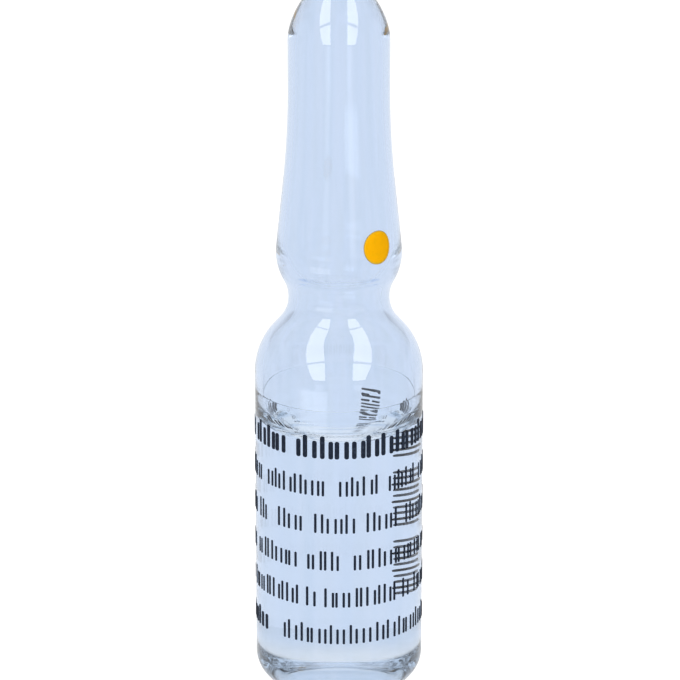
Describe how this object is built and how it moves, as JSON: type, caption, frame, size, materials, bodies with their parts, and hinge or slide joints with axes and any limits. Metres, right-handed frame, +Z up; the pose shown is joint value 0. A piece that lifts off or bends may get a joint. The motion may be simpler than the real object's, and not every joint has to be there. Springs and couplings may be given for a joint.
{
  "type": "glass ampoule",
  "caption": "Sealed glass ampoule with a necked stem, a rounded tip, clear solution inside, an opening dot on the bulb and plain rows of print.",
  "frame": {"origin": "on the table, under the middle of the base", "axes": "+Z up along the ampoule's axis, -Y towards the front, with the opening dot between -Y and +X"},
  "size_m": [0.0108, 0.0108, 0.047],
  "materials": {
    "glass": "clear, fire polished",
    "solution": "clear liquid",
    "dot_enamel": "fired enamel",
    "ink": "fired ink"
  },
  "bodies": {
    "root": {"glass_ampoule": "glass", "solution": "solution", "opening_dot": "dot_enamel", "label_print": "ink", "batch_print": "ink"}
  },
  "joints": []
}
